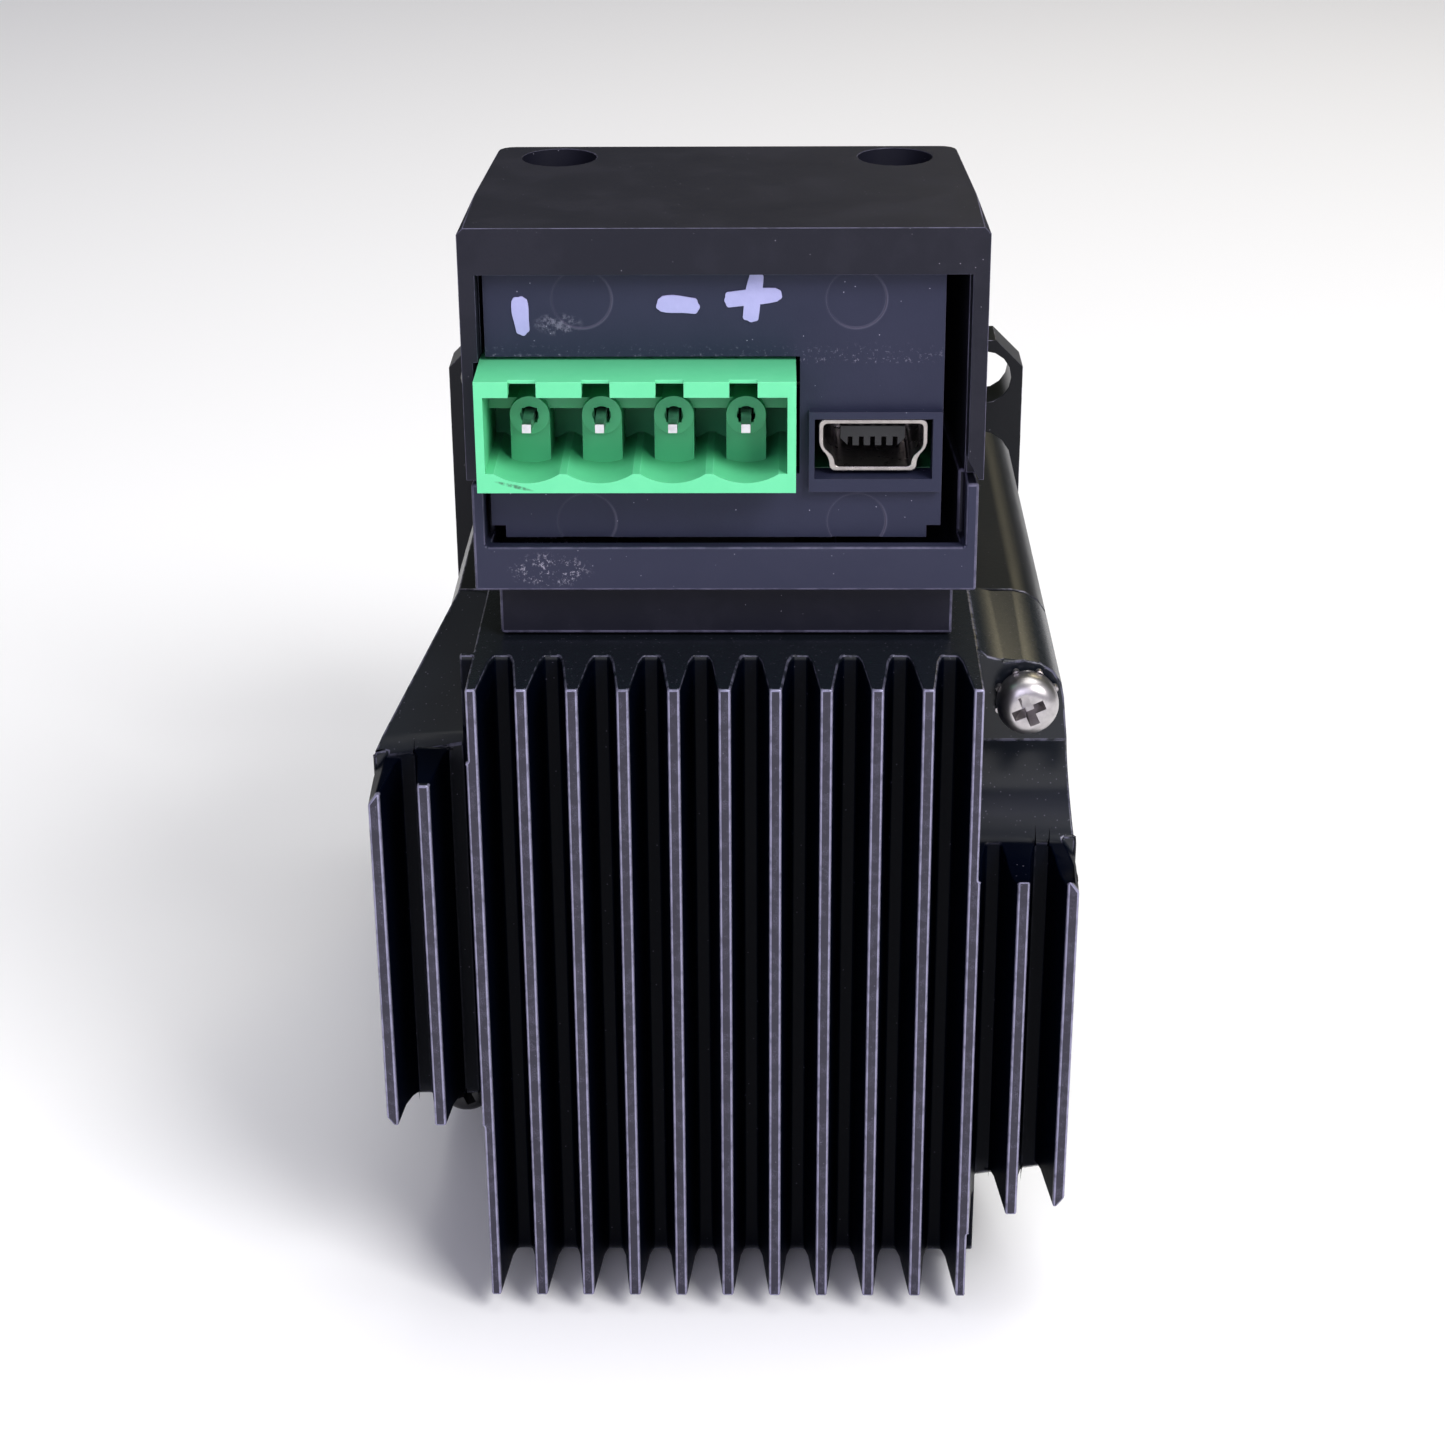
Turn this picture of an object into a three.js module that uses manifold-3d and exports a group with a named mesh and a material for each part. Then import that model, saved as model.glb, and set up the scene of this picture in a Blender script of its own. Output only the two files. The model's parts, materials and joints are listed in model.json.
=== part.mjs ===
// Integrated motor and drive: a finned die-cast drive housing on the rear of a flanged
// brushless motor, with a plastic connector box on top.
// Millimetres, +Z up, +Y along the shaft towards its free end. The origin is at the middle
// of the base of the bounding box. Inside the unit group the shaft axis is z = 0 and the
// tips of the cooling fins are at y = 0.
import * as THREE from 'three';
import { ConvexGeometry } from 'three/addons/geometries/ConvexGeometry.js';
import { mergeVertices } from 'three/addons/utils/BufferGeometryUtils.js';
import Module from 'manifold-3d';

const wasm = await Module();
wasm.setup();

// Driving dimensions
const gap = 0.3;                 // clearance kept between pieces that touch
const finPitch = 3.6;
const finCount = 15;
const finDepth = 6.3;
const finTip = 0.42;             // half thickness of a fin at its tip
const finWaist = 0.95;           // half thickness where the fillet at its root begins
const finRoot = 1.25;            // half thickness of a fin at its root
const coreHalf = 18.3;           // half width of the tall middle block of fins
const coreTop = 25.6;            // half height of the middle block
const wingHalf = 25.9;           // half width over the short side fins
const wingHigh = 17.4;           // where the outer fins start, away from the screw pocket
const wingStep = 0.7;            // the inner of the two short fins reaches this much further
const wingBack = 17.9;           // the same at the floor between the fins
const shoulderHigh = 19.9;       // the same for the outer half of the last tall fin
const seatDepth = 7.5;           // washer seat of the housing screw at the upper corner
const seatHeight = 17.5;         // lower end of that seat
const scoopRadius = 5.5;         // hollow below the seat
const scoopAt = [3.15, 14.96];   // its centre in y and z
// the lower corner slopes back from the short fins, as y and z
const underside = [[-1, -10.3], [3, -10.3], [6.3, -11.2], [21.2, -19.2], [31, -24.9]];
const seam = 21.2;               // joint between drive housing and motor body
const bodyHalf = 24.7;           // half size of the square motor body
const bodyEnd = 59.6;
const bodyBore = 22.5;
const cornerRadius = 3;
// housing screws: x, z and the depth of the seat
const housingScrews = [[21.9, 21.9, seatDepth], [-21.4, -16.5, 17.9]];
const tieAt = 18;                // end bell screws, at all four corners
const flangeBack = 78.5;
const flangeFace = 83.3;
const flangeHalf = 27.2;
const flangeHoleAt = 23.57;      // half of the 47.14 mm hole spacing
const flangeHoleRadius = 2.55;
const pilotRadius = 19.05;
const pilotEnd = flangeFace + 1.6;
const shaftRadius = 4;
const shaftEnd = flangeFace + 20.6;
const bearingSeat = 11;
const bearingWidth = 6.9;
const rearBearing = 26.2;        // rear face of the rear bearing
const frontBearing = 72.3;       // rear face of the front bearing
const stackStart = 34;           // stator laminations
const stackEnd = 54;
const slotCount = 12;
const boxFront = 7.3;            // connector box
const boxTaper = 1.07;           // each side leans in this much from front to back
const boxBack = 31.2;
const boxFloor = 30.2;
const boxSplit = 38.3;           // the hood meets the base here
const boxTop = 56.8;
const hoodHalf = 18.3;
const baseHalf = 18;
const openingHalf = 17.15;
const openingLow = 33.5;
const openingHigh = 53.5;
const wall = 1.2;
const plateFront = 8.7;
const plateSides = [-16.75, 15.4]; // it sits a little to the left in its opening
const neckHalf = 16.5;
const hoodScrewX = 12.5;
const hoodScrewY = 27.8;
const boardTop = 38.4;           // connector board, upper face
const boardThick = 1.6;
const headerFront = 3.8;
const headerLeft = -17.2;
const headerRight = 5;
const headerLow = 38.9;
const headerHigh = 46.96;
const headerDepth = 12;
const pinPitch = 5.08;
const pinFirst = -13.72;
const pinHigh = 43.2;
const pinSize = 0.9;
const usbLeft = 6.64;
const usbRight = 14.38;
const usbLow = 38.75;
const usbHigh = 42.6;
const usbFront = 8.8;

// Geometry helpers
function solid(geometry) {
  const bare = geometry.clone();
  bare.deleteAttribute('normal');
  bare.deleteAttribute('uv');
  const merged = mergeVertices(bare, 1e-4);
  const places = merged.attributes.position;
  const corners = merged.index.array;
  const [a, b, c] = [new THREE.Vector3(), new THREE.Vector3(), new THREE.Vector3()];
  let volume = 0;
  for (let i = 0; i < corners.length; i += 3) {
    a.fromBufferAttribute(places, corners[i]);
    b.fromBufferAttribute(places, corners[i + 1]);
    c.fromBufferAttribute(places, corners[i + 2]);
    volume += a.dot(b.cross(c));
  }
  const triVerts = Uint32Array.from(corners);
  if (volume < 0) triVerts.reverse();      // a turned or mirrored outline may face inwards
  const vertProperties = Float32Array.from(places.array);
  return new wasm.Manifold(new wasm.Mesh({ numProp: 3, vertProperties, triVerts }));
}

function geometryOf(body) {
  const mesh = body.getMesh();
  const geometry = new THREE.BufferGeometry();
  geometry.setAttribute('position', new THREE.BufferAttribute(mesh.vertProperties.slice(), 3));
  geometry.setIndex(new THREE.BufferAttribute(mesh.triVerts.slice(), 1));
  geometry.computeVertexNormals();
  return geometry;
}

const join = (...bodies) => bodies.reduce((sum, body) => sum.add(body));
const cut = (body, ...tools) => tools.reduce((rest, tool) => rest.subtract(tool), body);

// A shape and its copy turned half a turn about the shaft.
const twin = geometry => [geometry, geometry.clone().rotateY(Math.PI)].map(solid);

function blockShape([x0, x1], [y0, y1], [z0, z1]) {
  return new THREE.BoxGeometry(x1 - x0, y1 - y0, z1 - z0)
    .translate((x0 + x1) / 2, (y0 + y1) / 2, (z0 + z1) / 2);
}
const block = (...spans) => solid(blockShape(...spans));

const rodShapeY = (x, z, radius, [y0, y1], sides = 16) =>
  new THREE.CylinderGeometry(radius, radius, y1 - y0, sides).translate(x, (y0 + y1) / 2, z);
const rodY = (...spec) => solid(rodShapeY(...spec));

const rodZ = (x, y, radius, [z0, z1], sides = 20) =>
  solid(new THREE.CylinderGeometry(radius, radius, z1 - z0, sides)
    .rotateX(Math.PI / 2).translate(x, y, (z0 + z1) / 2));

// A body turned about the shaft axis, from [radius, y] points that close on themselves.
const turned = (profile, sides = 32) =>
  solid(new THREE.LatheGeometry(profile.map(point => new THREE.Vector2(...point)), sides));

const ring = (inner, outer, [y0, y1], sides = 32) =>
  turned([[inner, y0], [outer, y0], [outer, y1], [inner, y1], [inner, y0]], sides);

const shapeOf = outline => new THREE.Shape(outline.map(point => new THREE.Vector2(...point)));

// An x-z outline pushed along y, and an x-y outline pushed along z.
const prismY = (outline, [y0, y1]) =>
  solid(new THREE.ExtrudeGeometry(shapeOf(outline), { depth: y1 - y0, bevelEnabled: false })
    .rotateX(Math.PI / 2).translate(0, y1, 0));
const prismZ = (outline, [z0, z1]) =>
  solid(new THREE.ExtrudeGeometry(shapeOf(outline), { depth: z1 - z0, bevelEnabled: false })
    .translate(0, 0, z0));

function arc(x, z, radius, fromDegrees, toDegrees, steps = 4) {
  return Array.from({ length: steps + 1 }, (_, i) => {
    const angle = THREE.MathUtils.degToRad(fromDegrees + (toDegrees - fromDegrees) * i / steps);
    return [x + radius * Math.cos(angle), z + radius * Math.sin(angle)];
  });
}

const halfTurn = outline => [...outline, ...outline.map(([x, z]) => [-x, -z])];
const corners = at => [[at, at], [-at, at], [-at, -at], [at, -at]];
const cornerAt = bodyHalf - cornerRadius;
const roundCorner = arc(cornerAt, cornerAt, cornerRadius, 0, 90);

// Two opposite corners of the motor body are round, and the other two are cut steeply.
const bodyOutline = halfTurn([...roundCorner, [-20.8, bodyHalf], [-bodyHalf, 12]]);

// Materials
const finishes = {
  castBlack: [0x15151c, 0.42, 0.6],
  bodyBlack: [0x17171e, 0.45, 0.6],
  boxBlack: [0x1d1d26, 0.62, 0],
  terminalGreen: [0x4fd98a, 0.4, 0],
  tin: [0xc9cbd0, 0.25, 1],
  nickel: [0xb9b7b2, 0.28, 1],
  steel: [0x9a9ca0, 0.3, 1],
  lamination: [0x6d6f74, 0.5, 0.9],
  copper: [0xa8552a, 0.4, 0.8],
  magnet: [0x3a3b3f, 0.5, 0.5],
  boardGreen: [0x1f5a35, 0.5, 0],
  chip: [0x18181a, 0.5, 0],
  canister: [0x8f9298, 0.35, 0.9],
  pad: [0x9aa3b5, 0.9, 0],
  wire: [0x8a2222, 0.6, 0],
};
const material = Object.fromEntries(Object.entries(finishes).map(
  ([name, [color, roughness, metalness]]) =>
    [name, new THREE.MeshStandardMaterial({ color, roughness, metalness })]));

// Motor stands on the lower edge of its flange, so the shaft axis is at the flange's half size.
const unit = new THREE.Group();
unit.position.set(0, -shaftEnd / 2, flangeHalf);

function piece(name, finish, body) {
  const mesh = new THREE.Mesh(geometryOf(body), material[finish]);
  mesh.name = name;
  unit.add(mesh);
}

// Drive housing: fins, screw pockets, shoulders and the room for the boards
function fins() {
  const bodies = [];
  for (let i = 0; i < finCount; i += 1) {
    const x = (i - (finCount - 1) / 2) * finPitch;
    const tall = Math.abs(x) < coreHalf;
    const waist = finDepth - 1.1;
    const outline = [[x - finRoot, finDepth], [x - finWaist, waist], [x - finTip, 0],
      [x + finTip, 0], [x + finWaist, waist], [x + finRoot, finDepth],
      [x + finRoot, finDepth + 0.5], [x - finRoot, finDepth + 0.5]];
    const end = tall ? coreTop : wingHigh + (Math.abs(x) < wingHalf - 2 ? wingStep : 0);
    const limit = value => Math.max(-wingHalf, Math.min(wingHalf, value));
    bodies.push(prismZ(outline.map(([px, py]) => [limit(px), py]), [-end, end]));
  }
  return join(...bodies);
}

// The outer corners of the outermost fins are cut off at a slant, at both ends.
function finCorners() {
  const slants = [[-1, wingHigh + 1.3], [1, -wingHigh - 1.3], [1, 11.7], [-1, -11.7]];
  return slants.map(([side, end]) => prismY(
    [[side * 27, end - Math.sign(end) * 4], [side * 27, end], [side * 24.1, end]],
    [-1, finDepth + 0.4]));
}

function shoulders() {
  const points = bodyOutline.map(([x, z]) => new THREE.Vector3(x, seam, z));
  for (const [x, z] of halfTurn(roundCorner)) {
    points.push(new THREE.Vector3(x, seatDepth, z));
  }
  for (const [x, z] of halfTurn([[wingHalf, 9.8], [wingHalf, -wingBack]])) {
    points.push(new THREE.Vector3(x, finDepth, z));
  }
  const hull = solid(new ConvexGeometry(points));
  // The corners with no screw slope down from the seam to the short fins.
  const reach = 40;
  const slope = new THREE.BoxGeometry(reach, reach, reach).translate(0, 0, reach / 2)
    .applyQuaternion(new THREE.Quaternion().setFromUnitVectors(
      new THREE.Vector3(0, 0, 1), new THREE.Vector3(-0.127, -0.589, 0.798).normalize()))
    .translate(-16.8, 14.8, bodyHalf + 0.4);
  const side = blockShape([-reach, -coreHalf], [-reach, reach], [0, reach]);
  const slopes = twin(slope);
  const sides = twin(side);
  return cut(hull, slopes[0].intersect(sides[0]), slopes[1].intersect(sides[1]));
}

function lowerCorner() {
  const outline = [...underside, [31, -40], [-1, -40]];
  return solid(new THREE.ExtrudeGeometry(shapeOf(outline), { depth: 30, bevelEnabled: false })
    .applyMatrix4(new THREE.Matrix4().set(0, 0, 1, -coreHalf - 30, 1, 0, 0, 0, 0, 1, 0, 0, 0, 0, 0, 1)));
}

function heatSinkHousing() {
  const middle = block([-coreHalf, coreHalf], [finDepth, seam], [-coreTop, coreTop]);
  const fillet = twin(new THREE.ExtrudeGeometry(
    shapeOf([[coreHalf - 1, coreTop], [coreHalf, coreTop], [coreHalf + 0.7, bodyHalf + 0.3],
      [coreHalf + 1.8, bodyHalf], [coreHalf + 1.8, bodyHalf - 1], [coreHalf - 1, bodyHalf - 1]]),
    { depth: seam - seatDepth, bevelEnabled: false }).rotateX(Math.PI / 2).translate(0, seam, 0));
  const outside = 40;
  const pocket = block([coreHalf, outside], [-1, seatDepth], [seatHeight, outside]);
  const scoop = solid(new THREE.CylinderGeometry(scoopRadius, scoopRadius, outside, 40)
    .rotateZ(Math.PI / 2).translate(coreHalf + outside / 2, ...scoopAt));
  const step = twin(blockShape([-outside, -coreHalf], [-1, finDepth], [shoulderHigh, outside]));
  const counterbore = rodY(...housingScrews[1].slice(0, 2), 2.6, [5, housingScrews[1][2]]);
  const screwHoles = housingScrews.map(([x, z]) => rodY(x, z, 1.9, [5, seam + 1]));
  const room = block([-18.1, 18.1], [9.3, seam + 1], [-18, 18]);
  const cableSlot = block([-7, 7], [12, 19], [17, outside]);
  const bosses = [-15.5, 15.5].map(x => cut(rodY(x, 14.5, 2.3, [9, 12.1]),
    rodY(x, 14.5, 1.3, [9.9, 13], 12)));
  const casting = cut(join(shoulders(), middle, ...fillet, fins()),
    pocket, scoop, ...step, ...finCorners(), lowerCorner(), counterbore, ...screwHoles, room, cableSlot);
  return join(casting, ...bosses);
}
piece('heat_sink_housing', 'castBlack', heatSinkHousing());

// Housing screws and their toothed washers
function panScrew(x, z, seat) {
  const head = new THREE.LatheGeometry([[0, seat - 2], [1.4, seat - 1.8], [2.05, seat - 1.2],
    [2.25, seat - 0.5], [2.25, seat], [1.5, seat], [1.5, seat + 21], [0, seat + 21]]
    .map(point => new THREE.Vector2(...point)), 16).translate(x, 0, z);
  const recess = [[0.35, 1.35], [1.35, 0.35]].map(([halfX, halfZ]) =>
    block([x - halfX, x + halfX], [seat - 3, seat - 0.9], [z - halfZ, z + halfZ]));
  return cut(solid(head), ...recess);
}
function starWasher(x, z, back) {
  const teeth = 8;
  const outline = [];
  for (let i = 0; i < teeth * 4; i += 1) {
    const angle = Math.PI * 2 * i / (teeth * 4);
    const radius = i % 4 < 2 ? 2.45 : 2.0;
    outline.push([x + radius * Math.cos(angle), z + radius * Math.sin(angle)]);
  }
  return cut(prismY(outline, [back - 0.5, back]), rodY(x, z, 1.75, [back - 1, back + 1]));
}
for (const [i, [x, z, seat]] of housingScrews.entries()) {
  const washerBack = seat - gap;
  piece(`star_washer_${i + 1}`, 'nickel', starWasher(x, z, washerBack));
  piece(`housing_screw_${i + 1}`, 'nickel', panScrew(x, z, washerBack - 0.5 - gap / 2));
}

// Motor body: a square tube with a round bore
piece('motor_body', 'bodyBlack', cut(prismY(bodyOutline, [seam + gap, bodyEnd]),
  rodY(0, 0, bodyBore, [seam - 1, bodyEnd + 1], 40),
  ...housingScrews.map(([x, z, seat]) => rodY(x, z, 1.9, [seam - 1, seat + 23])), lowerCorner(),
  ...corners(tieAt).map(([x, z]) => rodY(x, z, 1.9, [44, bodyEnd + 1], 10))));

// Front end bell: relieved at the corners behind the flange's holes
function frontEndBell() {
  const half = 23.4;
  const short = 16.8;
  const bell = prismY([[half, -short], [half, short], [short, half], [-short, half],
    [-half, short], [-half, -short], [-short, -half], [short, -half]],
  [bodyEnd + gap, flangeBack + 0.5]);
  const ear = 2.6;
  const inset = flangeHalf - ear;
  const flange = prismY(corners(flangeHalf).flatMap(([x, z]) => {
    const across = [Math.sign(x) * inset, z];
    const upright = [x, Math.sign(z) * inset];
    return x * z > 0 ? [upright, across] : [across, upright];
  }), [flangeBack, flangeFace]);
  const pilot = rodY(0, 0, pilotRadius, [flangeFace - 1, pilotEnd], 48);
  return cut(join(bell, flange, pilot),
    rodY(0, 0, 20.5, [bodyEnd, frontBearing - gap], 32),
    rodY(0, 0, bearingSeat, [frontBearing - 1, frontBearing + bearingWidth + gap], 32),
    rodY(0, 0, 5.5, [frontBearing, pilotEnd + 1], 24),
    ...corners(flangeHoleAt).map(([x, z]) =>
      rodY(x, z, flangeHoleRadius, [flangeBack - 1, flangeFace + 1])),
    ...corners(tieAt).flatMap(([x, z]) => [rodY(x, z, 1.9, [bodyEnd, flangeFace], 10),
      rodY(x, z, 3.1, [80.2, flangeFace + 1], 12)]));
}
piece('front_end_bell', 'bodyBlack', frontEndBell());

for (const [i, [x, z]] of corners(tieAt).entries()) {
  piece(`end_bell_screw_${i + 1}`, 'steel', cut(
    join(rodY(x, z, 2.75, [80.5, 83], 12), rodY(x, z, 1.5, [45, 81], 8)),
    rodY(x, z, 1.25, [81.6, 84], 6)));
}

// Rear bearing plate, pressed into the motor body
piece('rear_bearing_plate', 'steel', cut(turned([[5, 22], [22.2, 22], [22.2, 25], [13, 25],
  [13, 33.4], [bearingSeat, 33.4], [bearingSeat, 24.9], [5, 24.9], [5, 22]], 36),
block([-8, 8], [21, 26], [-18.6, -14])));

// Stator: slotted laminations, with the windings through the slots
const stackAngles = Array.from({ length: slotCount }, (_, i) => Math.PI * 2 * i / slotCount);
const slotBar = (angle, halfWidth, [near, far], [y0, y1]) =>
  solid(blockShape([near, far], [y0, y1], [-halfWidth, halfWidth]).rotateY(angle));
piece('stator_core', 'lamination', cut(ring(13.8, bodyBore - gap, [stackStart, stackEnd], 36),
  ...stackAngles.map(angle => slotBar(angle, 1.7, [15, 19.8], [stackStart - 1, stackEnd + 1]))));
piece('stator_windings', 'copper', join(
  ring(14.9, 19.8, [28.2, stackStart - gap]),
  ring(14.9, 19.8, [stackEnd + gap, 59.4]),
  ...stackAngles.map(angle => slotBar(angle, 1.35, [15.4, 19.4], [stackStart - 1, stackEnd + 1]))));

// Rotor
piece('shaft', 'steel', cut(turned([[0, 20.5], [shaftRadius, 20.5],
  [shaftRadius, shaftEnd - 0.5], [shaftRadius - 0.5, shaftEnd], [0, shaftEnd]], 32),
block([-shaftRadius, shaftRadius], [shaftEnd - 15, shaftEnd + 1], [3.5, shaftRadius + 1])));
piece('rotor_core', 'lamination', ring(shaftRadius + gap, 10.3, [35, 53]));
piece('ring_magnet', 'magnet', ring(10.6, 13.2, [35, 53]));
piece('encoder_magnet', 'magnet', rodY(0, 0, 3.5, [18.2, 20.2], 24));

// Ball bearings: two rings, with the balls held by a cage between them
function ballCage(middle) {
  const balls = Array.from({ length: 7 }, (_, i) => Math.PI * 2 * i / 7)
    .map(angle => solid(new THREE.SphereGeometry(1.45, 8, 5)
      .translate(7.6 * Math.cos(angle), middle, 7.6 * Math.sin(angle))));
  return join(ring(7, 8.2, [middle - 0.7, middle + 0.7], 21), ...balls);
}
for (const [name, start] of [['rear', rearBearing], ['front', frontBearing]]) {
  const span = [start, start + bearingWidth];
  piece(`${name}_bearing_outer_ring`, 'steel', ring(9.2, bearingSeat - gap, span, 24));
  piece(`${name}_bearing_inner_ring`, 'steel', ring(shaftRadius + gap, 6, span, 24));
  piece(`${name}_bearing_balls`, 'nickel', ballCage(start + bearingWidth / 2));
}

function waveSpring() {
  const shape = new THREE.Shape().absarc(0, 0, 10.4, 0, Math.PI * 2);
  shape.holes.push(new THREE.Path().absarc(0, 0, 8.4, 0, Math.PI * 2));
  const flat = new THREE.ExtrudeGeometry(shape, { depth: 0.3, bevelEnabled: false,
    curveSegments: 24 }).rotateX(Math.PI / 2).translate(0, 25.7, 0);
  const places = flat.attributes.position;
  for (let i = 0; i < places.count; i += 1) {
    const angle = Math.atan2(places.getZ(i), places.getX(i));
    places.setY(i, places.getY(i) + 0.2 * Math.sin(3 * angle));
  }
  return solid(flat);
}
piece('wave_spring', 'steel', waveSpring());

// Drive electronics between the fins and the motor
piece('thermal_pad', 'pad', block([-14.2, 14.2], [9.5, 9.9], [-11.5, 11.5]));
for (let i = 0; i < 6; i += 1) {
  const x = (i % 3 - 1) * 9.6;
  const z = i < 3 ? 6 : -6;
  piece(`power_transistor_${i + 1}`, 'chip',
    prismZ([[x - 3.2, 10.1], [x + 3.2, 10.1], [x + 2.9, 12.1], [x - 2.9, 12.1]], [z - 4.5, z + 4.5]));
}
piece('power_board', 'boardGreen', cut(block([-17.8, 17.8], [12.4, 14], [-17.3, 17.3]),
  ...[-15.5, 15.5].map(x => rodY(x, 14.5, 1.3, [12, 15], 12))));
for (const [i, x] of [-15.5, 15.5].entries()) {
  piece(`board_screw_${i + 1}`, 'steel', cut(
    join(rodY(x, 14.5, 1, [10.3, 14.6], 12), rodY(x, 14.5, 2, [14.3, 15.6], 16)),
    rodY(x, 14.5, 0.9, [15, 16], 6)));
}
for (const [i, x] of [-13.6, 13.6].entries()) {
  piece(`bus_capacitor_${i + 1}`, 'canister', rodY(x, -13.1, 4, [14.3, 20.6], 24));
}
piece('control_board', 'boardGreen', rodY(0, 0, 11.8, [14.9, 16.3], 32));
piece('encoder_sensor', 'chip', block([-2.5, 2.5], [16.5, 17.7], [-2.5, 2.5]));
for (const [i, x] of [-5, 0, 5].entries()) {
  piece(`phase_lead_${i + 1}`, 'wire', rodY(x, -16, 0.9, [14.3, 27.9], 10));
}
piece('board_link_cable', 'chip', join(block([-5, 5], [14.4, 15.3], [15, 34]),
  block([-6, 6], [14.3, 16.3], [12.8, 16]), block([-6, 6], [13.6, 16.2], [33.4, 36.5])));

// Connector box: a base on a neck, and a hood screwed down over it
function boxPlan(half, inset, backRadius) {
  const rear = half - boxTaper - backRadius - inset;
  const back = boxBack - backRadius - inset;
  return [[-half + inset, boxFront + inset], [half - inset, boxFront + inset],
    ...arc(rear, back, backRadius, 0, 90), ...arc(-rear, back, backRadius, 90, 180)];
}

function connectorBase() {
  const shell = cut(prismZ(boxPlan(baseHalf, 0, 1.2), [boxFloor, boxSplit]),
    prismZ(boxPlan(baseHalf, wall, 0.6), [boxFloor + 1.5, boxSplit + 1]),
    block([-openingHalf, openingHalf], [boxFront - 1, plateFront + 1.8],
      [openingLow, boxSplit + 1]));
  const neck = block([-neckHalf, neckHalf], [9.8, boxBack - 1], [coreTop + gap, boxFloor + 0.5]);
  const bosses = [-hoodScrewX, hoodScrewX].map(x =>
    rodZ(x, hoodScrewY, 3, [boxFloor + 1, boxSplit]));
  return cut(join(shell, neck, ...bosses),
    block([-8, 8], [11.5, 20], [coreTop - 1, boxFloor + 2]),
    ...[-hoodScrewX, hoodScrewX].map(x => rodZ(x, hoodScrewY, 1.5, [33, boxSplit + 1], 12)));
}
piece('connector_box_base', 'boxBlack', connectorBase());

function connectorHood() {
  const low = boxSplit + gap;
  const edge = 0.45;
  const plan = prismZ(boxPlan(hoodHalf, 0, 1.2), [low, boxTop]);
  const section = prismY([[-hoodHalf, low], [hoodHalf, low], [hoodHalf, boxTop - edge],
    [hoodHalf - edge, boxTop], [-hoodHalf + edge, boxTop], [-hoodHalf, boxTop - edge]],
  [boxFront, boxBack]);
  const bosses = [-hoodScrewX, hoodScrewX].map(x => rodZ(x, hoodScrewY, 3.3, [low, boxTop - 1]));
  const shell = cut(plan.intersect(section),
    prismZ(boxPlan(hoodHalf, wall, 0.6), [low - 1, boxTop - 2.4]),
    block([-openingHalf, openingHalf], [boxFront - 1, boxFront + 2], [low - 1, openingHigh]),
    block([headerLeft - gap, 0], [boxFront - 1, headerFront + headerDepth + gap],
      [low - 1, headerHigh + gap]));
  return cut(join(shell, ...bosses), ...[-hoodScrewX, hoodScrewX].flatMap(x =>
    [rodZ(x, hoodScrewY, 2.8, [50.5, boxTop + 1], 24), rodZ(x, hoodScrewY, 1.5, [low - 1, 51], 12)]));
}
piece('connector_hood', 'boxBlack', connectorHood());

for (const [i, x] of [-hoodScrewX, hoodScrewX].entries()) {
  piece(`hood_screw_${i + 1}`, 'chip', cut(
    join(rodZ(x, hoodScrewY, 2.4, [50.8, 52.8], 20), rodZ(x, hoodScrewY, 1.15, [33.3, 51], 12)),
    rodZ(x, hoodScrewY, 1.1, [51.8, 54], 6)));
}

piece('connector_face_plate', 'boxBlack', cut(
  join(block(plateSides, [plateFront, plateFront + 1.6], [openingLow + gap, openingHigh - gap]),
    block([5.95, 15.5], [plateFront - 0.8, plateFront + 0.5], [37.5, 43.4])),
  ...plateSides.map(side => block([side - 1, side + 1], [plateFront - 1, plateFront + 3],
    [openingLow - 1, openingLow + 1.2])),
  block([-17, headerRight + gap], [plateFront - 2, plateFront + 3],
    [headerLow - gap, headerHigh + gap]),
  block([usbLeft - gap, usbRight + gap], [plateFront - 2, plateFront + 3],
    [usbLow - gap, usbHigh + gap])));

// Connector board with the four-way header and the small USB socket
const pinPlaces = Array.from({ length: 4 }, (_, i) => pinFirst + i * pinPitch);
const legY = headerFront + headerDepth + 0.5 + pinSize / 2;
piece('connector_board', 'boardGreen', cut(
  block([-15.4, 15.4], [10.7, 24.2], [boardTop - boardThick, boardTop]),
  ...pinPlaces.map(x => rodZ(x, legY, 0.9, [boardTop - 3, boardTop + 1], 12))));

function terminalHeader() {
  const skin = 0.95;
  const notches = pinPlaces.map(x => block([x - 0.95, x + 0.95], [headerFront - 1, headerFront + 1],
    [headerHigh - 2, headerHigh - 0.9]));
  const holes = pinPlaces.map(x => block([x - 0.75, x + 0.75],
    [headerFront + 8, headerFront + headerDepth + 1], [pinHigh - 0.75, pinHigh + 0.75]));
  return cut(block([headerLeft, headerRight], [headerFront, headerFront + headerDepth],
    [headerLow, headerHigh]),
  block([headerLeft + skin, headerRight - skin], [headerFront - 1, headerFront + 9.2],
    [headerLow + skin, headerHigh - 1.1]), ...notches, ...holes);
}
piece('terminal_header', 'terminalGreen', terminalHeader());

const halfPin = pinSize / 2;
for (const [i, x] of pinPlaces.entries()) {
  piece(`header_pin_${i + 1}`, 'tin', join(
    block([x - halfPin, x + halfPin], [headerFront + 1.2, legY + halfPin],
      [pinHigh - halfPin, pinHigh + halfPin]),
    block([x - halfPin, x + halfPin], [legY - halfPin, legY + halfPin],
      [boardTop - boardThick - 0.6, pinHigh])));
}

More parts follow.
